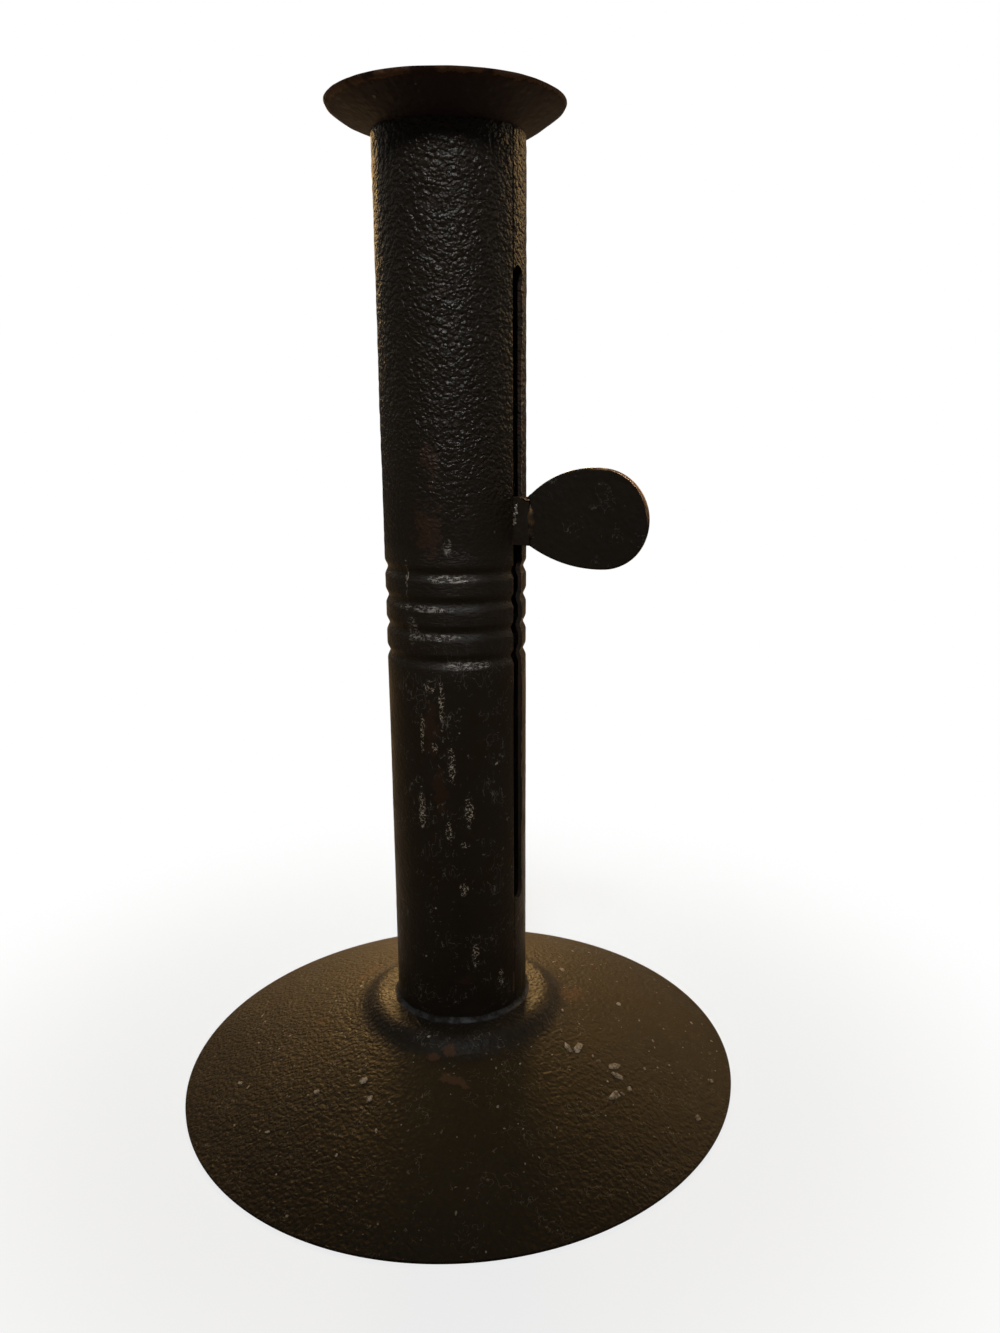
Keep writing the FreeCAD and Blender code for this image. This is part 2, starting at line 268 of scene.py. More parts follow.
def spun(points, steps):
    """Closed section spun once round the upright axis."""
    shape = bmesh.new()
    ring = [shape.verts.new(point) for point in points]
    edges = [shape.edges.new(pair) for pair in zip(ring, ring[1:] + ring[:1])]
    bmesh.ops.spin(shape, geom=ring + edges, cent=(0, 0, 0), axis=(0, 0, 1),
                   angle=2 * math.pi, steps=steps, use_merge=True)
    bmesh.ops.remove_doubles(shape, verts=shape.verts, dist=0.01 * MM)
    bmesh.ops.recalc_face_normals(shape, faces=shape.faces)
    return shape


def ramp(value, low, high):
    """0 below the low level, 1 above the high one and a straight rise between them."""
    return min(1.0, max(0.0, (value - low) / (high - low)))


def from_axis(place):
    return math.hypot(place.x, place.y)


def waves(place, *layers):
    """Sum of smooth noises, each given by its height and lump size in millimetres and its seed."""
    total = 0.0
    for height, size, seed in layers:
        total += height * MM * noise.noise(place / (size * MM) + Vector((seed, 1.7 * seed, -seed)))
    return total


def roughen(shape, relief):
    """Moves every vertex along its normal by relief(place), a depth in metres."""
    shape.normal_update()
    moves = [(vert, vert.normal * relief(vert.co)) for vert in shape.verts]
    for vert, move in moves:
        vert.co += move


def placed(name, data):
    """New object, linked into the scene."""
    made = bpy.data.objects.new(name, data)
    bpy.context.scene.collection.objects.link(made)
    return made


def finished(name, shape, material, body, slot, *stands_for):
    """Turns a bmesh into a piece of the candlestick."""
    mesh = bpy.data.meshes.new(name)
    shape.to_mesh(mesh)
    shape.free()
    mesh.shade_smooth()
    mesh.set_sharp_from_angle(angle=math.radians(38))
    piece = placed(name, mesh)
    mesh.materials.append(material)
    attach(piece, body)
    if stands_for:
        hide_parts(*stands_for)


def dress(node_name, material):
    """Gives a frame part its finish."""
    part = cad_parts[node_name]
    part.data.materials.clear()
    part.data.materials.append(material)


def carve(shape, cutter):
    """The shape with the cutter's volume taken away, as a new bmesh."""
    scratch = []
    for label, source in (("cut_body", shape), ("cut_tool", cutter)):
        mesh = bpy.data.meshes.new(label)
        source.to_mesh(mesh)
        source.free()
        scratch.append(placed(label, mesh))
    cut = scratch[0].modifiers.new("cut", "BOOLEAN")
    cut.operation = "DIFFERENCE"
    cut.solver = "EXACT"
    cut.object = scratch[1]
    bpy.context.view_layer.update()
    evaluated = scratch[0].evaluated_get(bpy.context.evaluated_depsgraph_get())
    result = bmesh.new()
    result.from_mesh(evaluated.to_mesh())
    evaluated.to_mesh_clear()
    for piece in scratch:
        mesh = piece.data
        bpy.data.objects.remove(piece)
        bpy.data.meshes.remove(mesh)
    return result


def feed(tree, socket, value):
    """Sets a socket to a value, or links it where the value is an output socket."""
    if isinstance(value, bpy.types.NodeSocket):
        tree.links.new(value, socket)
    else:
        socket.default_value = value


def node(tree, kind, inputs=None, **settings):
    """Adds a node; an input is a value or an output socket to link from."""
    made = tree.nodes.new("ShaderNode" + kind)
    for name, value in settings.items():
        setattr(made, name, value)
    for key, value in (inputs or {}).items():
        feed(tree, made.inputs[key], value)
    return made


def calc(tree, operation, first, second=0.0, third=0.0):
    return node(tree, "Math", {0: first, 1: second, 2: third}, operation=operation).outputs[0]


def times(tree, first, second):
    return calc(tree, "MULTIPLY", first, second)


def vector_calc(tree, operation, first, second):
    return node(tree, "VectorMath", {0: first, 1: second}, operation=operation).outputs[0]


def vector_length(tree, vector):
    return node(tree, "VectorMath", {0: vector}, operation="LENGTH").outputs["Value"]


def squeezed(tree, parts, factor):
    """Vector put together from separate X, Y and Z, its Z multiplied by the factor."""
    height = times(tree, parts["Z"], factor)
    return node(tree, "CombineXYZ", {"X": parts["X"], "Y": parts["Y"], "Z": height}).outputs[0]


def warped(tree, vector, scale, reach):
    """Vector pushed about by noise, so that cells on it lose their straight borders."""
    push = node(tree, "TexNoise", {"Vector": vector, "Scale": scale}).outputs["Color"]
    shift = node(tree, "VectorMath", {0: push, "Scale": reach}, operation="SCALE").outputs[0]
    return vector_calc(tree, "ADD", vector, shift)


def fade(tree, value, low, high, to_low=0.0, to_high=1.0):
    """Smooth step of a value between two levels."""
    inputs = {"Value": value, "From Min": low, "From Max": high, "To Min": to_low, "To Max": to_high}
    return node(tree, "MapRange", inputs, interpolation_type="SMOOTHSTEP", clamp=True).outputs["Result"]


def blend_colour(tree, factor, under, over):
    mixed = node(tree, "Mix", {0: factor, 6: under, 7: over}, data_type="RGBA", clamp_factor=True)
    return mixed.outputs[2]


def grain(tree, vector, scale, detail=2.0, roughness=0.5, distortion=0.0):
    inputs = {"Vector": vector, "Scale": scale, "Detail": detail, "Roughness": roughness}
    inputs["Distortion"] = distortion
    return node(tree, "TexNoise", inputs).outputs["Fac"]


def rgba(value):
    return (*value, 1.0)


def new_group(name, inputs, outputs):
    """Empty shader node group with named sockets; returns the tree and its two ends."""
    tree = bpy.data.node_groups.new(name, "ShaderNodeTree")
    kinds = {"vector": "NodeSocketVector", "value": "NodeSocketFloat", "colour": "NodeSocketColor"}
    for label, kind, default in inputs:
        socket = tree.interface.new_socket(label, in_out="INPUT", socket_type=kinds[kind])
        if default is not None:
            socket.default_value = default
    for label, kind in outputs:
        tree.interface.new_socket(label, in_out="OUTPUT", socket_type=kinds[kind])
    start = tree.nodes.new("NodeGroupInput")
    end = tree.nodes.new("NodeGroupOutput")
    return tree, start.outputs, end.inputs


def use_group(tree, group, inputs):
    made = tree.nodes.new("ShaderNodeGroup")
    made.node_tree = group
    for key, value in inputs.items():
        feed(tree, made.inputs[key], value)
    return made.outputs


def orange_peel_group():
    """Skin of japan brushed over pitted sheet, as a height of creased lumps."""
    tree, start, end = new_group(
        "orange_peel",
        [("Vector", "vector", None), ("Cells", "value", 700.0), ("Crease", "value", 0.5)],
        [("Height", "value")])
    place = warped(tree, start["Vector"], times(tree, start["Cells"], 0.6), 0.0012)
    cells = node(tree, "TexVoronoi", {"Vector": place, "Scale": start["Cells"], "Smoothness": 0.5},
                 feature="SMOOTH_F1").outputs["Distance"]
    lumps = grain(tree, place, times(tree, start["Cells"], 0.5), 2.0, 0.55)
    folds = calc(tree, "ABSOLUTE", calc(tree, "SUBTRACT", lumps, 0.5))
    fine = grain(tree, start["Vector"], times(tree, start["Cells"], 2.6), 2.0, 0.6)
    pebbles = calc(tree, "SUBTRACT", 1.0, cells)
    height = calc(tree, "MULTIPLY_ADD", folds, times(tree, start["Crease"], -2.0), pebbles)
    height = calc(tree, "MULTIPLY_ADD", lumps, 0.6, height)
    height = calc(tree, "MULTIPLY_ADD", fine, 0.22, height)
    tree.links.new(height, end["Height"])


def flecks_group():
    """Small hard-edged specks of paint or bare metal, sparse and uneven in size."""
    tree, start, end = new_group(
        "flecks",
        [("Vector", "vector", None), ("Scale", "value", 300.0), ("Size", "value", 0.16),
         ("Share", "value", 0.2)],
        [("Mask", "value")])
    place = warped(tree, start["Vector"], times(tree, start["Scale"], 2.3), 0.0011)
    cells = node(tree, "TexVoronoi", {"Vector": place, "Scale": start["Scale"]}, feature="F1").outputs
    draw = node(tree, "SeparateColor", {"Color": cells["Color"]}).outputs
    chosen = calc(tree, "LESS_THAN", draw["Red"], start["Share"])
    size = times(tree, start["Size"], calc(tree, "MULTIPLY_ADD", draw["Green"], 0.9, 0.35))
    inside = calc(tree, "SUBTRACT", size, cells["Distance"])
    tree.links.new(times(tree, chosen, fade(tree, inside, 0.0, 0.05)), end["Mask"])


def scratches_group():
    """Fine broken scratches that run along the vector's Z."""
    tree, start, end = new_group(
        "scratches",
        [("Vector", "vector", None), ("Scale", "value", 500.0), ("Stretch", "value", 0.06),
         ("Share", "value", 0.3)],
        [("Mask", "value")])
    parts = node(tree, "SeparateXYZ", {0: start["Vector"]}).outputs
    lines = grain(tree, squeezed(tree, parts, start["Stretch"]), start["Scale"], 1.0, 0.5)
    thin = fade(tree, calc(tree, "ABSOLUTE", calc(tree, "SUBTRACT", lines, 0.5)), 0.006, 0.018, 1.0, 0.0)
    broken = grain(tree, start["Vector"], 190.0, 4.0, 0.7)
    kept = calc(tree, "GREATER_THAN", broken, calc(tree, "SUBTRACT", 1.0, start["Share"]))
    tree.links.new(times(tree, thin, kept), end["Mask"])


def patch_group():
    """One ragged patch round a given place."""
    tree, start, end = new_group(
        "patch",
        [("Vector", "vector", None), ("Place", "vector", None), ("Reach", "vector", (0.003, 0.003, 0.003)),
         ("Ragged", "value", 0.6), ("Scale", "value", 500.0)],
        [("Mask", "value")])
    offset = vector_calc(tree, "SUBTRACT", start["Vector"], start["Place"])
    away = vector_length(tree, vector_calc(tree, "DIVIDE", offset, start["Reach"]))
    rough = calc(tree, "SUBTRACT", grain(tree, start["Vector"], start["Scale"], 5.0, 0.72), 0.5)
    edge = calc(tree, "MULTIPLY_ADD", rough, times(tree, start["Ragged"], 3.0), away)
    tree.links.new(fade(tree, edge, 0.55, 1.0, 1.0, 0.0), end["Mask"])


def edge_wear_and_highlight_group():
    """Band along an edge, in broken lengths: wear, and a painted highlight where the tab and the lip's rim
    use it.
    """
    tree, start, end = new_group(
        "edge_wear_and_highlight",
        [("Vector", "vector", None), ("Distance", "value", 0.0), ("Width", "value", 0.0004),
         ("Share", "value", 0.5)],
        [("Mask", "value")])
    fine = grain(tree, start["Vector"], 900.0, 4.0, 0.65)
    wide = grain(tree, start["Vector"], 120.0, 3.0, 0.6)
    width = times(tree, start["Width"], calc(tree, "MULTIPLY_ADD", fine, 1.6, 0.2))
    near = calc(tree, "LESS_THAN", calc(tree, "ABSOLUTE", start["Distance"]), width)
    least = calc(tree, "SUBTRACT", 0.98, start["Share"])
    kept = fade(tree, wide, least, calc(tree, "SUBTRACT", 1.05, start["Share"]))
    tree.links.new(times(tree, near, kept), end["Mask"])


class Finish:
    """A material under construction: colour layers, roughness, metal and height over one shader."""

    def __init__(self, name, under, roughness, specular=0.25):
        self.material = bpy.data.materials.new(name)
        self.material.use_nodes = True
        self.tree = self.material.node_tree
        self.shader = self.tree.nodes["Principled BSDF"]
        self.shader.inputs["Specular IOR Level"].default_value = specular
        self.vector = node(self.tree, "TexCoord").outputs["Object"]
        self.parts = node(self.tree, "SeparateXYZ", {0: self.vector}).outputs
        self.x, self.y, self.z = self.parts["X"], self.parts["Y"], self.parts["Z"]
        across = self.calc("MULTIPLY_ADD", self.y, self.y, self.times(self.x, self.x))
        self.radius = self.calc("SQRT", across)
        self.colour = node(self.tree, "RGB").outputs[0]
        self.colour.default_value = rgba(under)
        self.roughness = self.calc("MULTIPLY_ADD", self.noise(260.0, 3.0), 0.25, roughness - 0.125)
        self.metal = 0.0
        self.height = 0.0

    def noise(self, scale, detail=3.0, roughness=0.55, distortion=0.0):
        return grain(self.tree, self.vector, scale, detail, roughness, distortion)

    def stretched_noise(self, scale, stretch, detail):
        """Noise drawn out along Z, or squeezed where the stretch is over 1."""
        return grain(self.tree, squeezed(self.tree, self.parts, stretch), scale, detail, 0.6)

    def calc(self, operation, first, second=0.0, third=0.0):
        return calc(self.tree, operation, first, second, third)

    def times(self, first, second):
        return times(self.tree, first, second)

    def fade(self, value, low, high, to_low=0.0, to_high=1.0):
        return fade(self.tree, value, low, high, to_low, to_high)

    def group(self, name, **inputs):
        values = {"Vector": self.vector}
        values.update({key.replace("_", " "): value for key, value in inputs.items()})
        return use_group(self.tree, bpy.data.node_groups[name], values)

    def patch(self, place, reach, ragged):
        """Mask of one ragged patch, its place and reach given in millimetres."""
        return self.group("patch", Place=Vector(place) * MM, Reach=Vector(reach) * MM, Ragged=ragged)["Mask"]

    def layer(self, mask, over, roughness=None, metal=None, height=0.0, share=None):
        """Lays a colour over what is there where the mask is 1, in full or by a share."""
        if share is not None:
            mask = self.times(mask, share)
        self.colour = blend_colour(self.tree, mask, self.colour, rgba(over))
        if roughness is not None:
            self.roughness = self.mixed(mask, self.roughness, roughness)
        if metal is not None:
            self.metal = self.mixed(mask, self.metal, metal)
        if height:
            self.height = self.calc("MULTIPLY_ADD", mask, height, self.height)

    def mixed(self, mask, under, over):
        return node(self.tree, "Mix", {0: mask, 2: under, 3: over}, data_type="FLOAT").outputs[0]

    def emboss(self, height, depth):
        """Adds a height, in metres."""
        self.height = self.calc("MULTIPLY_ADD", height, depth, self.height)

    def done(self):
        bump = node(self.tree, "Bump", {"Height": self.height, "Distance": 1.0, "Strength": 1.0})
        links = (("Base Color", self.colour), ("Roughness", self.roughness), ("Metallic", self.metal),
                 ("Normal", bump.outputs["Normal"]))
        for label, source in links:
            feed(self.tree, self.shader.inputs[label], source)
        return self.material


def japanned(name, colours, roughness, cells, peel, squeeze=1.0):
    """Black japan, patchy brown where it is thin, and the skin of lumps that lies on it.

    The lumps can be squeezed in height. They are raised by peel, a depth in metres.
    """
    finish = Finish(name, colours.japan, roughness)
    thin = finish.fade(finish.noise(75.0, 5.0, 0.62, 0.6), 0.46, 0.70)
    finish.layer(thin, colours.japan_brown, share=0.7)
    mottle = finish.fade(finish.noise(900.0, 4.0, 0.7), 0.50, 0.66)
    finish.layer(mottle, colours.rust_dark, share=0.35)
    place = squeezed(finish.tree, finish.parts, squeeze)
    skin = finish.group("orange_peel", Cells=cells, Vector=place)["Height"]
    if peel:
        finish.emboss(skin, peel)
    return finish, skin


def patches(finish, marks, over, strength, ragged=0.9, roughness=0.75, height=0.02 * MM):
    """Lays a colour over ragged marks."""
    for place, reach in marks:
        mask = finish.patch(place, reach, ragged)
        finish.layer(mask, over, roughness, 0.0, height, strength)


def tube_material(colours, sizes):
    """Pebbled and black above, brown and scratched below, silvery in the grooves with a painted highlight on
    their flanks, rubbed at the slot.
    """
    finish, skin = japanned("worn_black_tube", colours, 0.35, cells=1350.0, peel=0.0, squeeze=1.15)
    upper = finish.fade(finish.z, PEBBLES_START, PEBBLES_START + 28 * MM, 0.16, 1.0)
    finish.emboss(skin, finish.times(upper, 0.30 * MM))
    lowest = sizes.groove_lowest
    highest = lowest + HIGHEST_GROOVE * sizes.groove_pitch
    at_grooves = finish.times(finish.fade(finish.z, lowest - 6 * MM, lowest - 2 * MM),
                              finish.fade(finish.z, highest + 5.7 * MM, highest + 2.7 * MM))
    finish.emboss(finish.stretched_noise(900.0, 3.5, 6.0), finish.times(at_grooves, 0.22 * MM))
    lower = finish.fade(finish.z, PEBBLES_START - 2 * MM, PEBBLES_START - 20 * MM)
    brown = finish.times(finish.fade(finish.stretched_noise(520.0, 0.12, 4.0), 0.50, 0.66), lower)
    finish.layer(brown, colours.japan_brown, share=0.5)
    patches(finish, TUBE_RUST, colours.rust, 0.42, 1.6)
    bloom = finish.fade(finish.noise(260.0, 6.0, 0.75), 0.56, 0.68)
    finish.layer(bloom, colours.rust, 0.75, share=0.30)
    curls = finish.group("scratches", Scale=1250.0, Stretch=0.6, Share=0.85)["Mask"]
    grains = finish.fade(finish.noise(2600.0, 2.0, 0.6), 0.56, 0.64)
    strokes = finish.calc("MAXIMUM", curls, grains)
    for place, reach in TUBE_PAINT:
        mask = finish.times(finish.patch(place, reach, 0.8), strokes)
        finish.layer(mask, colours.cream, 0.7, share=0.85)
    scratched = finish.group("scratches", Scale=1100.0, Stretch=0.5, Share=0.46)["Mask"]
    finish.layer(scratched, colours.bare, 0.45, 0.2, share=finish.times(lower, 0.35))
    dashes = finish.group("flecks", Scale=1100.0, Size=0.13, Share=0.42)["Mask"]
    finish.layer(dashes, colours.bare, 0.5, share=finish.calc("MULTIPLY_ADD", lower, 0.34, 0.10))
    # Rubbed iron in streaks, laid where the grooves' flanks catch the light: partly wear, partly a painted
    # highlight.
    silver_and_highlight_streaks = finish.fade(finish.stretched_noise(1000.0, 3.2, 6.0), 0.52, 0.60)
    silver_and_highlight_streaks = finish.calc("MAXIMUM", silver_and_highlight_streaks, curls)
    for place, reach in GROOVE_SILVER_AND_HIGHLIGHTS:
        finish.layer(finish.times(finish.patch(place, reach, 0.5), silver_and_highlight_streaks), colours.bare, 0.34, 0.5)
    specks = finish.group("flecks", Scale=430.0, Size=0.12, Share=0.10)["Mask"]
    finish.layer(specks, colours.cream, 0.7, share=finish.calc("MULTIPLY_ADD", lower, 0.5, 0.1))
    slot_wear(finish, colours, sizes)
    bore = sizes.radius - 0.75 * sizes.wall - sizes.groove_depth
    finish.layer(finish.calc("LESS_THAN", finish.radius, bore), colours.rust_dark, 0.85)
    return finish.done()


def slot_wear(finish, colours, sizes):
    """Coppery wear along the slot's edges, and dull rust on its cut faces."""
    beside = finish.calc("SUBTRACT", finish.calc("ABSOLUTE", finish.y), sizes.slot_width / 2)
    at_slot = finish.times(finish.calc("GREATER_THAN", finish.x, 0.0),
                           finish.fade(finish.z, sizes.slot_high, sizes.slot_high - 2 * MM))
    outside = finish.calc("GREATER_THAN", finish.radius, sizes.radius - 0.12 * MM)
    worn = finish.group("edge_wear_and_highlight", Distance=beside, Width=0.14 * MM, Share=0.50)["Mask"]
    worn = finish.times(worn, finish.times(at_slot, outside))
    finish.layer(worn, colours.copper, 0.45, 0.4, share=0.5)
    cut_face = finish.times(finish.calc("LESS_THAN", beside, 0.06 * MM),
                            finish.calc("SUBTRACT", 1.0, outside))
    cut_face = finish.times(cut_face, at_slot)
    blotch = finish.fade(finish.noise(330.0, 5.0, 0.65), 0.42, 0.60)
    finish.layer(cut_face, colours.japan, 0.9)
    finish.layer(finish.times(cut_face, blotch), colours.rust, 0.8, share=0.45)


def base_material(colours, sizes):
    """Aged olive japan on the dome with painted shade round the hub, rust, specks and a rubbed rim; faint
    orange patches on the shoulder's root are a painted highlight.
    """
    finish = japanned("worn_black_base", colours, 0.48, cells=1250.0, peel=0.17 * MM)[0]
    aged = finish.fade(finish.noise(30.0, 4.0, 0.55, 0.3), 0.30, 0.66, 0.6, 1.0)
    # Painted shade: the olive fades out towards the hub, so the dome is darker round the tube's foot.
    frayed = finish.calc("MULTIPLY_ADD", finish.noise(240.0, 4.0), 5 * MM, finish.radius)
    away = finish.fade(frayed, 20.5 * MM, 26.0 * MM, 0.15, 1.0)
    finish.layer(finish.times(aged, away), colours.olive)
    dark = finish.fade(finish.noise(1300.0, 3.0, 0.7), 0.46, 0.66)
    finish.layer(dark, colours.japan, share=0.30)
    patches(finish, BASE_RUST, colours.rust_bright, 0.5, 1.2)
    # Painted highlight on the shoulder's root behind the tube, with a faint rust spot.
    patches(finish, BASE_FAINT_RUST_AND_HIGHLIGHT, colours.rust_bright, 0.35)
    bloom = finish.fade(finish.noise(210.0, 6.0, 0.72), 0.62, 0.72)
    finish.layer(bloom, colours.rust, 0.7, share=0.5)
    specks = finish.group("flecks", Scale=330.0, Size=0.13, Share=0.12)["Mask"]
    finish.layer(specks, colours.cream, 0.7, 0.0, 0.02 * MM)
    dust = finish.group("flecks", Scale=1000.0, Size=0.2, Share=0.18)["Mask"]
    finish.layer(dust, colours.cream, 0.8, share=0.26)
    scratched = finish.group("scratches", Scale=800.0, Stretch=1.0, Share=0.44)["Mask"]
    finish.layer(scratched, colours.cream, 0.6, share=0.20)
    from_rim = finish.calc("SUBTRACT", sizes.radius, finish.radius)
    rim = finish.group("edge_wear_and_highlight", Distance=from_rim, Width=0.35 * MM, Share=0.35)["Mask"]
    finish.layer(rim, colours.rust, 0.5, 0.3, share=0.35)
    return finish.done()


def lip_material(colours, sizes):
    """Reddish black japan, rusty at the rim, with a coppery line round the rim that is rubbed metal and a
    painted highlight.
    """
    finish = japanned("worn_black_lip", colours, 0.50, cells=800.0, peel=0.14 * MM)[0]
    finish.layer(0.75, colours.lip_japan)
    from_rim = finish.calc("SUBTRACT", sizes.radius, finish.radius)
    rim = finish.group("edge_wear_and_highlight", Distance=from_rim, Width=1.1 * MM, Share=0.75)["Mask"]
    finish.layer(rim, colours.rust, 0.5, share=0.6)
    # Coppery line round the rim: rubbed metal, and a painted highlight on the rim's lit edge.
    rim_wear_and_highlight = finish.group("edge_wear_and_highlight", Distance=from_rim, Width=0.7 * MM, Share=0.52)["Mask"]
    finish.layer(rim_wear_and_highlight, colours.copper, 0.4, 0.3, share=0.35)
    specks = finish.group("flecks", Scale=380.0, Size=0.12, Share=0.05)["Mask"]
    finish.layer(specks, colours.cream, 0.7, share=0.4)
    return finish.done()


def tab_material(colours, sizes):
    """Black japan, with a coppery painted highlight on the upper outer edge of the round end."""
    finish = japanned("worn_black_tab", colours, 0.42, cells=900.0, peel=0.08 * MM)[0]
    centre = {"X": TAB_HIGH.x - sizes.head_radius, "Z": sizes.tab_middle}
    head = node(finish.tree, "CombineXYZ", centre).outputs[0]
    flat = node(finish.tree, "CombineXYZ", {"X": finish.x, "Z": finish.z}).outputs[0]
    offset = vector_calc(finish.tree, "SUBTRACT", flat, head)
    edge = finish.calc("SUBTRACT", sizes.head_radius, vector_length(finish.tree, offset))
    # Painted highlight: copper on the round end's edge, only on the side that faces up and out, where the
    # light catches the rim.
    painted_highlight_side = (0.64, 0.0, 0.77)
    toward_painted_highlight = node(finish.tree, "VectorMath", {0: offset, 1: painted_highlight_side}, operation="DOT_PRODUCT")
    facing = finish.fade(toward_painted_highlight.outputs["Value"], 4.6 * MM, 6.6 * MM)
    worn = finish.group("edge_wear_and_highlight", Distance=edge, Width=0.24 * MM, Share=0.85)["Mask"]
    finish.layer(finish.times(worn, facing), colours.copper, 0.38, 0.6, share=0.9)
    specks = finish.group("flecks", Scale=420.0, Size=0.14, Share=0.16)["Mask"]
    finish.layer(specks, colours.bare, 0.5, 0.3, share=0.4)
    scratched = finish.group("scratches", Scale=900.0, Stretch=1.0, Share=0.44)["Mask"]
    finish.layer(scratched, colours.bare, 0.5, 0.2, share=0.2)
    return finish.done()


def metal_material(name, base, dark, roughness, metal, scale=600.0):
    """Dull bare metal, tarnished in patches."""
    finish = Finish(name, base, roughness)
    tarnish = finish.fade(finish.noise(scale, 5.0, 0.65), 0.42, 0.62)
    finish.metal = finish.mixed(tarnish, metal, 0.1)
    finish.layer(tarnish, dark, roughness + 0.15)
    finish.emboss(finish.noise(1400.0, 3.0, 0.6), 0.06 * MM)
    return finish.done()


def stadium_cutter(sizes):
    """Bar with round ends that cuts the slot."""
    shape = bmesh.new()
    half = sizes.slot_width / 2
    corners = []
    for height, start in ((sizes.slot_high - half, 0.0), (sizes.slot_low + half, math.pi)):
        for step in range(17):
            angle = start + math.pi * step / 16
            corners.append((sizes.radius / 2, math.cos(angle) * half, height + math.sin(angle) * half))
    face = shape.faces.new([shape.verts.new(corner) for corner in corners])
    grown = bmesh.ops.extrude_face_region(shape, geom=[face])
    moved = [item for item in grown["geom"] if isinstance(item, bmesh.types.BMVert)]
    bmesh.ops.translate(shape, vec=(sizes.radius, 0, 0), verts=moved)
    bmesh.ops.recalc_face_normals(shape, faces=shape.faces)
    return shape


def seam_cutter(sizes, low, high):
    """Three-sided bar whose tip cuts the seam line, level with one edge of the slot."""
    shape = bmesh.new()
    half = sizes.seam_width / 2
    made = bmesh.ops.create_cone(
        shape, cap_ends=True, segments=3, radius1=2 * half, radius2=2 * half, depth=high - low)
    bmesh.ops.rotate(shape, verts=made["verts"], matrix=Matrix.Rotation(math.pi / 6, 3, "Z"))
    turn = Matrix.Rotation(-math.asin(sizes.slot_width / 2 / sizes.radius), 3, "Z")
    bmesh.ops.translate(shape, vec=(sizes.radius + half / 2, 0, (low + high) / 2), verts=made["verts"])
    bmesh.ops.rotate(shape, verts=made["verts"], matrix=turn)
    return shape


class CANDLESTICK_OT_tube(bpy.types.Operator):
    """Rolled tube with its grooves, slot, seam and turned-out foot"""
    bl_idname = "candlestick.tube"
    bl_label = "Shaft tube"

    def outline(self, sizes, depth, row):
        """One side of the wall, from the top down to the edge of the foot flange."""
        flank_slope = math.atan(2 * sizes.groove_depth / sizes.groove_width)
        edge_radius = 1.0 * MM
        floor_radius = 0.9 * MM
        edge_run = edge_radius * math.tan(flank_slope / 2)
        flank = math.hypot(sizes.groove_depth, sizes.groove_width / 2) - edge_run
        flank -= floor_radius * math.tan(flank_slope)
        highest = sizes.groove_lowest + HIGHEST_GROOVE * sizes.groove_pitch
        top = TUBE_HIGH.z
        foot = TUBE_LOW.z + sizes.wall
        side = Profile(sizes.radius - depth, top, -math.pi / 2, row)
        side.straight(top - highest - sizes.groove_width / 2 - edge_run)
        for groove in range(HIGHEST_GROOVE + 1):
            side.bend(edge_radius - depth, -flank_slope)
            side.straight(flank)
            side.bend(floor_radius + depth, 2 * flank_slope)
            side.straight(flank)
            side.bend(edge_radius - depth, -flank_slope)
            land = sizes.groove_pitch - sizes.groove_width - 2 * edge_run
            to_foot = side.points[-1].z - foot - sizes.wall
            side.straight(land if groove < HIGHEST_GROOVE else to_foot)
        return side

    def execute(self, context):
        sizes = context.scene.candlestick_tube
        outer = self.outline(sizes, 0.0, sizes.row)
        inner = self.outline(sizes, sizes.wall, 4 * sizes.row)
        foot = TUBE_LOW.z
        outer.points.append(Vector((sizes.radius, 0, foot + sizes.wall)))
        outer.points.append(Vector((TUBE_HIGH.x, 0, foot + sizes.wall)))
        outer.points.append(Vector((TUBE_HIGH.x, 0, foot)))
        inner.points.append(Vector((sizes.radius - sizes.wall, 0, foot)))
        inner.points[0].z -= sizes.wall
        shape = spun(outer.points + inner.points[::-1], 180)
        roughen(shape, lambda place: self.relief(sizes, place))
        shape = carve(shape, stadium_cutter(sizes))
        shape = carve(shape, seam_cutter(sizes, BASE_HIGH.z - MM, TUBE_HIGH.z + MM))
        material = tube_material(context.scene.candlestick_colours, sizes)
        finished("tube_shell", shape, material, "stand", "tube_iron", "shaft_tube")
        return {"FINISHED"}

    def relief(self, sizes, place):
        """Hand-rolled unevenness: a slow wave and small hammer lumps, stronger in the upper half."""
        inner_side = sizes.radius - 0.6 * sizes.wall - sizes.groove_depth
        if place.z < BASE_HIGH.z or from_axis(place) < inner_side:
            return 0.0
        upper = ramp(place.z, PEBBLES_START, PEBBLES_START + 30 * MM)
        return waves(place, (0.06, 14, 3.0), (0.015 + 0.065 * upper, 1.7, 8.0),
                     (0.008 + 0.030 * upper, 0.9, 5.0))


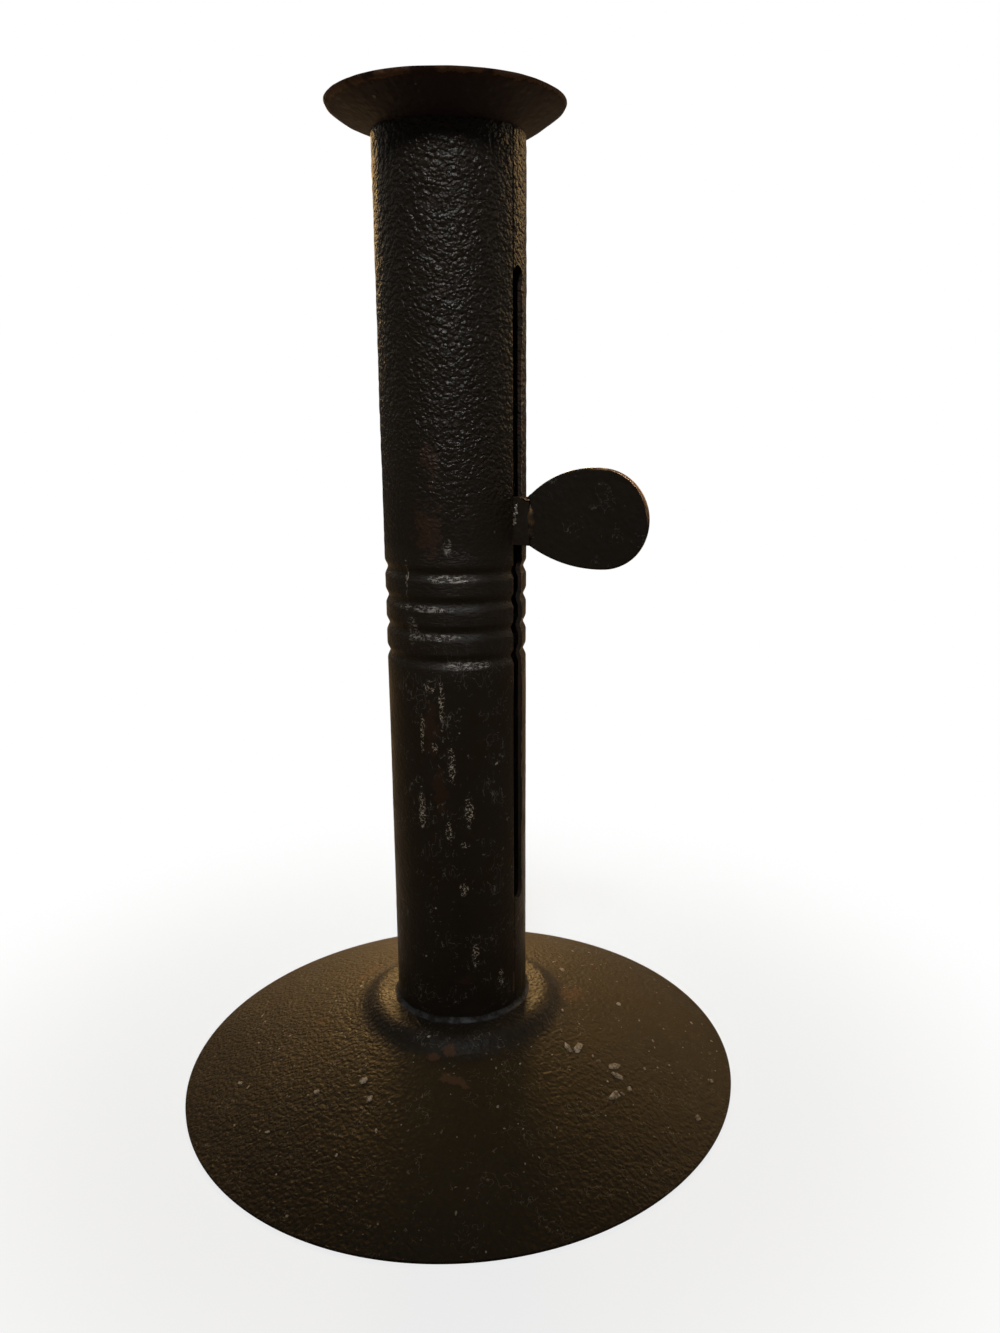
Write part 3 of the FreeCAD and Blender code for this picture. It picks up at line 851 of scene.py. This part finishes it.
class CANDLESTICK_OT_base(bpy.types.Operator):
    """Spun dome of the base with its hub, shoulder and ground rim"""
    bl_idname = "candlestick.base"
    bl_label = "Base dome"

    def outline(self, sizes, depth, row):
        """Side of the sheet at a depth under its top, from the hole out to the rim or the ground."""
        tilt = sizes.rim_slope
        side = Profile(sizes.hole_radius, BASE_HIGH.z - depth, 0.0, row)
        side.straight(sizes.hub_radius - sizes.hole_radius)
        side.bend(sizes.crest_radius - depth, -sizes.shoulder_slope)
        side.straight(sizes.flank)
        side.bend(sizes.root_radius + depth, sizes.shoulder_slope - sizes.dome_slope)
        end_x = sizes.radius - depth * math.sin(tilt)
        end_z = sizes.rim_edge - depth * math.cos(tilt)
        if depth > 0:
            back = -end_z / math.sin(tilt)
            end_x -= back * math.cos(tilt)
            end_z += back * math.sin(tilt)
        side.glide(end_x, end_z, -tilt)
        return side

    def execute(self, context):
        sizes = context.scene.candlestick_base
        top = self.outline(sizes, 0.0, 0.55 * MM)
        under = self.outline(sizes, sizes.sheet, 2.2 * MM)
        rim = [Vector((sizes.radius, 0, 0))]
        shape = spun(top.points + rim + under.points[::-1], 480)
        roughen(shape, lambda place: self.relief(sizes, place))
        material = base_material(context.scene.candlestick_colours, sizes)
        finished("base_shell", shape, material, "stand", "base_iron", "base_dome")
        return {"FINISHED"}

    def relief(self, sizes, place):
        """Slow dents and fine lumps that fade out at the rim and under the dome."""
        reach = from_axis(place)
        free = ramp(sizes.radius - reach, 0.0, 3 * MM) * ramp(reach, 14 * MM, 16 * MM)
        return free * (waves(place, (0.16, 19, 6.0), (0.028, 3.2, 4.0), (0.018, 1.3, 2.0)) - 0.05 * MM)


class CANDLESTICK_OT_lip(bpy.types.Operator):
    """Dished lip with a rounded rim, its collar inside the tube"""
    bl_idname = "candlestick.lip"
    bl_label = "Lip pan"

    def outline(self, sizes, bore, depth):
        """Line at a depth inside the lip's outer side, from the collar's end out to the rim."""
        rim = sizes.rim_slope
        flare = (sizes.radius - bore) / (math.sin(rim) - math.sin(sizes.root_slope))
        centre = LIP_HIGH.z + (flare - sizes.sheet) * math.cos(rim)
        radius = flare - depth
        slant = math.asin((flare * math.sin(sizes.root_slope) - depth) / radius)
        side = Profile(bore - depth, LIP_LOW.z, math.pi / 2, 0.5 * MM)
        side.straight(centre - radius * math.cos(slant) - LIP_LOW.z)
        side.heading = slant
        return side.bend(radius, rim - slant)

    def execute(self, context):
        sizes = context.scene.candlestick_lip
        tube = context.scene.candlestick_tube
        under = self.outline(sizes, tube.radius - tube.wall, 0.0)
        upper = self.outline(sizes, tube.radius - tube.wall, sizes.sheet)
        tip = (under.points[-1] + upper.points[-1]) / 2 + under.ahead() * (0.1 * MM)
        shape = spun(under.points[:-1] + [tip] + upper.points[-2::-1], 240)
        roughen(shape, self.relief)
        self.bend_rim(shape, sizes)
        material = lip_material(context.scene.candlestick_colours, sizes)
        finished("lip_shell", shape, material, "stand", "lip_iron", "lip_pan")
        return {"FINISHED"}

    def bend_rim(self, shape, sizes):
        """Knocks the flare a little out of true and leaves its seat on the tube alone."""
        high = Vector((math.cos(sizes.bent_toward), math.sin(sizes.bent_toward), 0))
        aside = Vector((math.cos(sizes.knocked_toward), math.sin(sizes.knocked_toward), 0))
        for vert in shape.verts:
            free = ramp(from_axis(vert.co), LIP_SEAT, LIP_SEAT + 4 * MM)
            vert.co.z += free * vert.co.dot(high) * math.tan(sizes.bent_up)
            vert.co += aside * (free * sizes.knocked)

    def relief(self, place):
        free = ramp(from_axis(place), LIP_SEAT, LIP_SEAT + 2 * MM)
        return free * (waves(place, (0.10, 9, 2.0), (0.03, 1.6, 7.0)) - 0.06 * MM)


class CANDLESTICK_OT_solder(bpy.types.Operator):
    """Lumpy fillet of solder round the tube's foot"""
    bl_idname = "candlestick.solder"
    bl_label = "Foot solder"

    def execute(self, context):
        sunk = 0.1 * MM
        hollow = 1.7
        inner = context.scene.candlestick_tube.radius - sunk
        foot = SOLDER_LOW.z - sunk
        rise = SOLDER_HIGH.z - foot
        run = SOLDER_HIGH.x - inner
        section = [Vector((inner, 0, foot + rise))]
        for step in range(1, 8):
            t = step / 8
            section.append(Vector((inner + run * t ** hollow, 0, foot + rise * (1 - t) ** hollow)))
        section += [Vector((inner + run, 0, foot)), Vector((inner, 0, foot))]
        shape = spun(section, 200)
        roughen(shape, lambda place: waves(place, (0.10, 2.1, 9.0), (0.05, 0.8, 1.0)))
        colours = context.scene.candlestick_colours
        material = metal_material("foot_solder_grey", colours.solder, colours.japan, 0.5, 0.5)
        finished("solder_fillet", shape, material, "stand", "solder", "foot_solder")
        return {"FINISHED"}


class CANDLESTICK_OT_tab(bpy.types.Operator):
    """Egg-shaped thumb tab, slightly dished, with a rounded edge"""
    bl_idname = "candlestick.tab"
    bl_label = "Thumb tab"

    def flank(self, sizes, root, head, radius, side):
        """Points of the arc from the neck into the round head."""
        gap = root - head
        reach = radius - sizes.head_radius
        along = (reach ** 2 - radius ** 2 + gap.length ** 2) / (2 * gap.length)
        across = math.sqrt(reach ** 2 - along ** 2)
        toward = gap.normalized()
        pivot = head + toward * along + Vector((-toward.z, 0, toward.x)) * (side * across)
        first = root - pivot
        last = (head - pivot) * (radius / reach)
        return [pivot + first.slerp(last, step / 24) * radius for step in range(25)]

    def outline(self, sizes):
        """The egg's outline: upper flank, round end, lower flank and the short end in the neck."""
        root_x = BRAZE_LOW.x - sizes.bead_radius
        neck = (BRAZE_LOW.z + BRAZE_HIGH.z) / 2
        head = Vector((TAB_HIGH.x - sizes.head_radius, 0, sizes.tab_middle))
        root_high = Vector((root_x, 0, neck + sizes.root_height / 2))
        root_low = Vector((root_x, 0, neck - sizes.root_height / 2))
        upper = self.flank(sizes, root_high, head, sizes.upper_flank, 1)
        lower = self.flank(sizes, root_low, head, sizes.lower_flank, -1)
        start = upper[-1] - head
        end = lower[-1] - head
        first = math.atan2(start.z, start.x)
        sweep = first - math.atan2(end.z, end.x)
        round_end = []
        for step in range(1, 64):
            angle = first - sweep * step / 64
            round_end.append(head + Vector((math.cos(angle), 0, math.sin(angle))) * sizes.head_radius)
        inner_low = Vector((TAB_LOW.x, 0, root_low.z))
        rise = Vector((0, 0, root_high.z - root_low.z))
        neck_end = [inner_low + rise * (step / 8) for step in range(9)]
        return upper + round_end + lower[::-1] + neck_end

    def execute(self, context):
        sizes = context.scene.candlestick_slide
        shape = bmesh.new()
        points = self.outline(sizes)
        middle = Vector((TAB_HIGH.x - sizes.head_radius - 2 * MM, 0, sizes.tab_middle - 0.3 * MM))
        loop = [shape.verts.new(point) for point in points]
        edges = [shape.edges.new(pair) for pair in zip(loop, loop[1:] + loop[:1])]
        rings = 22
        for ring in range(1, rings):
            grown = bmesh.ops.extrude_edge_only(shape, edges=edges)["geom"]
            verts = [item for item in grown if isinstance(item, bmesh.types.BMVert)]
            edges = [item for item in grown if isinstance(item, bmesh.types.BMEdge)]
            factor = (rings - ring) / (rings - ring + 1)
            bmesh.ops.scale(shape, vec=(factor, 1, factor), space=Matrix.Translation(-middle), verts=verts)
        bmesh.ops.holes_fill(shape, edges=edges, sides=0)
        bmesh.ops.recalc_face_normals(shape, faces=shape.faces)
        bmesh.ops.solidify(shape, geom=shape.faces[:], thickness=sizes.tab_thickness)
        bmesh.ops.recalc_face_normals(shape, faces=shape.faces)
        highest = max(vert.co.y for vert in shape.verts)
        bmesh.ops.translate(shape, vec=(0, sizes.tab_thickness / 2 - highest, 0), verts=shape.verts)
        sharp = 1.0
        rim = [edge for edge in shape.edges
               if edge.calc_face_angle(0.0) > sharp and edge.verts[0].co.x > BRAZE_LOW.x]
        bmesh.ops.bevel(shape, geom=rim, offset=0.3 * MM, offset_type="OFFSET", segments=3, profile=0.5,
                        affect="EDGES", material=-1, clamp_overlap=True)
        roughen(shape, self.relief)
        material = tab_material(context.scene.candlestick_colours, sizes)
        finished("thumb_plate", shape, material, "ejector", "tab_iron", "thumb_tab")
        return {"FINISHED"}

    def relief(self, place):
        free = ramp(place.x, 17 * MM, 21 * MM)
        return free * waves(place, (0.04, 6, 3.0), (0.012, 1.4, 5.0))


def blob(shape, place, size, faces=3):
    """Egg-shaped lump added to the shape."""
    made = bmesh.ops.create_icosphere(shape, subdivisions=faces, radius=1.0)["verts"]
    bmesh.ops.scale(shape, vec=size, verts=made)
    bmesh.ops.translate(shape, vec=place, verts=made)


class CANDLESTICK_OT_braze(bpy.types.Operator):
    """Lumpy beads of braze in the corners between the neck and the thumb tab"""
    bl_idname = "candlestick.braze"
    bl_label = "Braze beads"

    def execute(self, context):
        sizes = context.scene.candlestick_slide
        colours = context.scene.candlestick_colours
        shape = bmesh.new()
        middle = (BRAZE_LOW.z + BRAZE_HIGH.z) / 2
        half = (BRAZE_HIGH.z - BRAZE_LOW.z) / 2
        for side in (-1, 1):
            place = (BRAZE_LOW.x, side * sizes.tab_thickness / 2, middle)
            blob(shape, place, (sizes.bead_radius, sizes.bead_radius, half), 5)
        roughen(shape, lambda place: waves(place, (0.22, 1.2, 4.0)) - 0.14 * MM)
        material = metal_material("neck_braze_brass", colours.braze, colours.japan, 0.5, 0.5, 420.0)
        finished("braze_beads", shape, material, "ejector", "braze", "tab_braze")
        return {"FINISHED"}


class CANDLESTICK_OT_crust(bpy.types.Operator):
    """Silvery crust on the neck's near side and a ridge on its top edge, coppery as a painted highlight"""
    bl_idname = "candlestick.crust"
    bl_label = "Neck crust"

    def execute(self, context):
        colours = context.scene.candlestick_colours
        draw = random.Random(7)
        face = -(context.scene.candlestick_slide.tab_thickness / 2 + COLLAR_SHEET)
        silvery = bmesh.new()
        lumps = 14
        start = Vector((12.95 * MM, face - 0.05 * MM, 113.7 * MM))
        end = Vector((12.40 * MM, face - 0.05 * MM, 110.3 * MM))
        for step in range(lumps):
            place = start.lerp(end, step / (lumps - 1))
            place += Vector((draw.uniform(-0.18, 0.18), 0, draw.uniform(-0.1, 0.1))) * MM
            blob(silvery, place, Vector((draw.uniform(0.2, 0.36), 0.16, draw.uniform(0.25, 0.45))) * MM)
        roughen(silvery, lambda place: waves(place, (0.09, 0.45, 2.0)))
        material = metal_material("neck_crust_silver", colours.bare, colours.rust_dark, 0.42, 0.5, 900.0)
        finished("neck_crust", silvery, material, "ejector", "slide_iron")
        # Ridge on the neck's top edge, its coppery colour a painted highlight where the edge catches the
        # light.
        coppery = bmesh.new()
        start = Vector((13.7 * MM, face + 0.1 * MM, NECK_TOP))
        stride = Vector((0.17, 0, -0.048)) * MM
        for step in range(10):
            place = start + stride * step
            place += Vector((0, 0, draw.uniform(-0.08, 0.08))) * MM
            blob(coppery, place, Vector((0.28, draw.uniform(0.2, 0.3), 0.16)) * MM)
        roughen(coppery, lambda place: waves(place, (0.06, 0.4, 6.0)))
        material = metal_material("neck_ridge_painted_highlight", colours.copper, colours.rust_dark, 0.45, 0.4, 700.0)
        finished("neck_ridge", coppery, material, "ejector", "slide_iron")
        return {"FINISHED"}


class CANDLESTICK_OT_chips(bpy.types.Operator):
    """Raised flakes of old cream paint on the dome, a few large ones and many crumbs"""
    bl_idname = "candlestick.chips"
    bl_label = "Paint chips"

    def flake(self, shape, surface, draw, x, y, long, wide, turn):
        """Irregular flake that lies on the dome under the point, its top smaller than its foot."""
        place, normal = surface.ray_cast(Vector((x, y, 60 * MM)), Vector((0, 0, -1)))[:2]
        lie = normal.to_track_quat("Z", "Y") @ Matrix.Rotation(turn, 3, "Z").to_quaternion()
        count = 14 if long > 0.8 * MM else 7
        corners = []
        for step in range(count):
            angle = 2 * math.pi * step / count
            reach = draw.uniform(0.72, 1.12)
            corner = Vector((math.cos(angle) * long, math.sin(angle) * wide, 0)) * (reach / 2)
            corners.append(shape.verts.new(place + lie @ corner))
        low = shape.faces.new(corners)
        grown = bmesh.ops.extrude_face_region(shape, geom=[low])["geom"]
        raised = [item for item in grown if isinstance(item, bmesh.types.BMVert)]
        thickness = min(0.22 * MM, wide / 4)
        bmesh.ops.translate(shape, vec=normal * thickness, verts=raised)
        bmesh.ops.scale(shape, vec=(0.82, 0.82, 1), space=Matrix.Translation(-place), verts=raised)

    def execute(self, context):
        colours = context.scene.candlestick_colours
        reach = context.scene.candlestick_base.radius
        base = bpy.data.objects["base_shell"]
        surface = BVHTree.FromObject(base, context.evaluated_depsgraph_get())
        draw = random.Random(11)
        shape = bmesh.new()
        grown = FLAKE_GROWTH * MM
        for x, y, long, wide, turn in PAINT_FLAKES:
            self.flake(shape, surface, draw, x * MM, y * MM, long * grown, wide * grown, math.radians(turn))
        for crumb in range(CRUMBS):
            angle = draw.uniform(0, 2 * math.pi)
            away = math.sqrt(draw.uniform(0.12, 0.93)) * reach
            size = draw.uniform(0.16, 0.30) * MM if crumb % 6 else draw.uniform(0.35, 0.65) * MM
            self.flake(shape, surface, draw, math.cos(angle) * away, math.sin(angle) * away,
                       size * draw.uniform(1.0, 2.2), size, draw.uniform(0, math.pi))
        bmesh.ops.recalc_face_normals(shape, faces=shape.faces)
        finish = Finish("cream_paint_flakes", colours.cream, 0.7)
        dirty = finish.fade(finish.noise(1500.0, 4.0, 0.6), 0.42, 0.62)
        finish.layer(dirty, colours.olive, 0.8, share=0.7)
        finish.emboss(finish.noise(2500.0, 2.0), 0.03 * MM)
        finished("paint_flakes", shape, finish.done(), "stand", "base_iron")
        return {"FINISHED"}


class CANDLESTICK_OT_hidden_parts(bpy.types.Operator):
    """Finish of the parts that show only through the slot, the socket or the hollow base"""
    bl_idname = "candlestick.hidden_parts"
    bl_label = "Slide and washer"

    def execute(self, context):
        colours = context.scene.candlestick_colours
        slide = metal_material("browned_slide_iron", colours.japan_brown, colours.japan, 0.6, 0.2)
        for name in ("candle_pan", "slide_collar", "pan_rivets"):
            dress(name, slide)
        dress("foot_washer", metal_material("washer_iron_dark", colours.rust_dark, colours.japan, 0.7, 0.2))
        return {"FINISHED"}


class CANDLESTICK_OT_stage(bpy.types.Operator):
    """Pale floor, soft lights and the camera"""
    bl_idname = "candlestick.stage"
    bl_label = "Stage"

    def execute(self, context):
        sizes = context.scene.candlestick_stage
        scene = context.scene
        scene.view_settings.view_transform = "Standard"
        self.add_floor()
        self.add_world(scene)
        self.add_lights()
        self.add_camera(scene, sizes)
        return {"FINISHED"}

    def add_floor(self):
        shape = bmesh.new()
        bmesh.ops.create_grid(shape, x_segments=1, y_segments=1, size=6.0)
        mesh = bpy.data.meshes.new("floor")
        shape.to_mesh(mesh)
        shape.free()
        floor = placed("floor", mesh)
        floor.location.z = -0.02 * MM
        mesh.materials.append(self.floor_material())

    def floor_material(self):
        """White floor for the camera, shaded a little near the candlestick, and dull grey to light rays.

        The bluish colour evens out the warm lights.
        """
        material = bpy.data.materials.new("pale_floor")
        material.use_nodes = True
        tree = material.node_tree
        shader = tree.nodes["Principled BSDF"]
        shader.inputs["Base Color"].default_value = (0.62, 0.80, 0.95, 1.0)
        shader.inputs["Roughness"].default_value = 0.9
        shader.inputs["Specular IOR Level"].default_value = 0.1
        place = node(tree, "TexCoord").outputs["Object"]
        whiteness = fade(tree, vector_length(tree, place), 0.055, 0.14, 0.80, 1.0)
        seen = node(tree, "LightPath").outputs["Is Camera Ray"]
        white = node(tree, "Emission", {"Color": rgba(WHITE), "Strength": 1.0}).outputs[0]
        dull = node(tree, "BsdfDiffuse", {"Color": (0.35, 0.35, 0.35, 1.0)}).outputs[0]
        pale = node(tree, "MixShader", {0: whiteness, 1: shader.outputs[0], 2: white}).outputs[0]
        mixed = node(tree, "MixShader", {0: seen, 1: dull, 2: pale}).outputs[0]
        tree.links.new(mixed, tree.nodes["Material Output"].inputs["Surface"])
        return material

    def add_world(self, scene):
        """White for the camera and a dim pale sky for everything else."""
        world = bpy.data.worlds.new("studio")
        scene.world = world
        world.use_nodes = True
        tree = world.node_tree
        seen = node(tree, "LightPath").outputs["Is Camera Ray"]
        background = tree.nodes["Background"]
        background.inputs["Color"].default_value = rgba(WHITE)
        sky = 0.08
        strength = calc(tree, "MULTIPLY_ADD", seen, 1.0 - sky, sky)
        tree.links.new(strength, background.inputs["Strength"])

    def add_lights(self):
        """Warm lights behind, the strongest hidden by the tube, and a narrow one over the camera."""
        for name, place, (width, height), power, spread, aim_height, tint in LIGHTS:
            data = bpy.data.lights.new(name, "AREA")
            data.shape = "RECTANGLE"
            data.size = width
            data.size_y = height
            data.energy = power
            data.color = tint
            data.spread = math.radians(spread)
            lamp = placed(name, data)
            lamp.location = place
            aim = Vector((0, 0, aim_height)) - Vector(place)
            lamp.rotation_euler = aim.to_track_quat("-Z", "Y").to_euler()

    def add_camera(self, scene, sizes):
        turn = Matrix.Rotation(sizes.azimuth, 3, "Z")
        level = math.cos(sizes.pitch)
        sideways, forward = math.sin(sizes.yaw) * level, math.cos(sizes.yaw) * level
        ahead = turn @ Vector((sideways, forward, -math.sin(sizes.pitch)))
        right = turn @ Vector((math.cos(sizes.yaw), -math.sin(sizes.yaw), 0))
        up = right.cross(ahead)
        across = right * math.cos(sizes.roll) + up * math.sin(sizes.roll)
        above = up * math.cos(sizes.roll) - right * math.sin(sizes.roll)
        place = turn @ Vector((0, -sizes.distance, sizes.height))
        data = bpy.data.cameras.new("camera")
        camera = placed("camera", data)
        facing = Matrix((across, above, -ahead)).transposed().to_4x4()
        camera.matrix_world = Matrix.Translation(place) @ facing
        data.sensor_fit = "AUTO"
        data.sensor_width = 36.0
        data.lens = sizes.focal * data.sensor_width / sizes.photo_height
        data.shift_x = (sizes.photo_width / 2 - sizes.centre_x) / sizes.photo_height
        data.shift_y = (sizes.centre_y - sizes.photo_height / 2) / sizes.photo_height
        data.clip_start = 0.005
        data.clip_end = 20.0
        scene.camera = camera


class CANDLESTICK_PT_panel(bpy.types.Panel):
    """Lists the pieces of the candlestick"""
    bl_idname = "CANDLESTICK_PT_panel"
    bl_label = "Candlestick"
    bl_space_type = "VIEW_3D"
    bl_region_type = "UI"
    bl_category = "Candlestick"

    def draw(self, context):
        for operator in OPERATORS:
            self.layout.operator(operator.bl_idname)


OPERATORS = (
    CANDLESTICK_OT_stage,
    CANDLESTICK_OT_tube,
    CANDLESTICK_OT_base,
    CANDLESTICK_OT_lip,
    CANDLESTICK_OT_solder,
    CANDLESTICK_OT_tab,
    CANDLESTICK_OT_braze,
    CANDLESTICK_OT_crust,
    CANDLESTICK_OT_chips,
    CANDLESTICK_OT_hidden_parts,
)
SETTINGS = {
    "candlestick_tube": TubeSizes,
    "candlestick_base": BaseSizes,
    "candlestick_lip": LipSizes,
    "candlestick_slide": SlideSizes,
    "candlestick_stage": StageSizes,
    "candlestick_colours": FinishColours,
}
GROUPS = (orange_peel_group, flecks_group, scratches_group, patch_group, edge_wear_and_highlight_group)


def register():
    for group in SETTINGS.values():
        bpy.utils.register_class(group)
    for kind in OPERATORS + (CANDLESTICK_PT_panel,):
        bpy.utils.register_class(kind)
    for name, group in SETTINGS.items():
        setattr(bpy.types.Scene, name, bpy.props.PointerProperty(type=group))


def unregister():
    for name in SETTINGS:
        delattr(bpy.types.Scene, name)
    for kind in (CANDLESTICK_PT_panel,) + OPERATORS[::-1] + tuple(SETTINGS.values()):
        bpy.utils.unregister_class(kind)


def main():
    register()
    for build_group in GROUPS:
        build_group()
    bpy.ops.candlestick.stage()
    bpy.ops.candlestick.tube()
    bpy.ops.candlestick.base()
    bpy.ops.candlestick.lip()
    bpy.ops.candlestick.solder()
    bpy.ops.candlestick.tab()
    bpy.ops.candlestick.braze()
    bpy.ops.candlestick.crust()
    bpy.ops.candlestick.chips()
    bpy.ops.candlestick.hidden_parts()


if __name__ == "__main__":
    main()
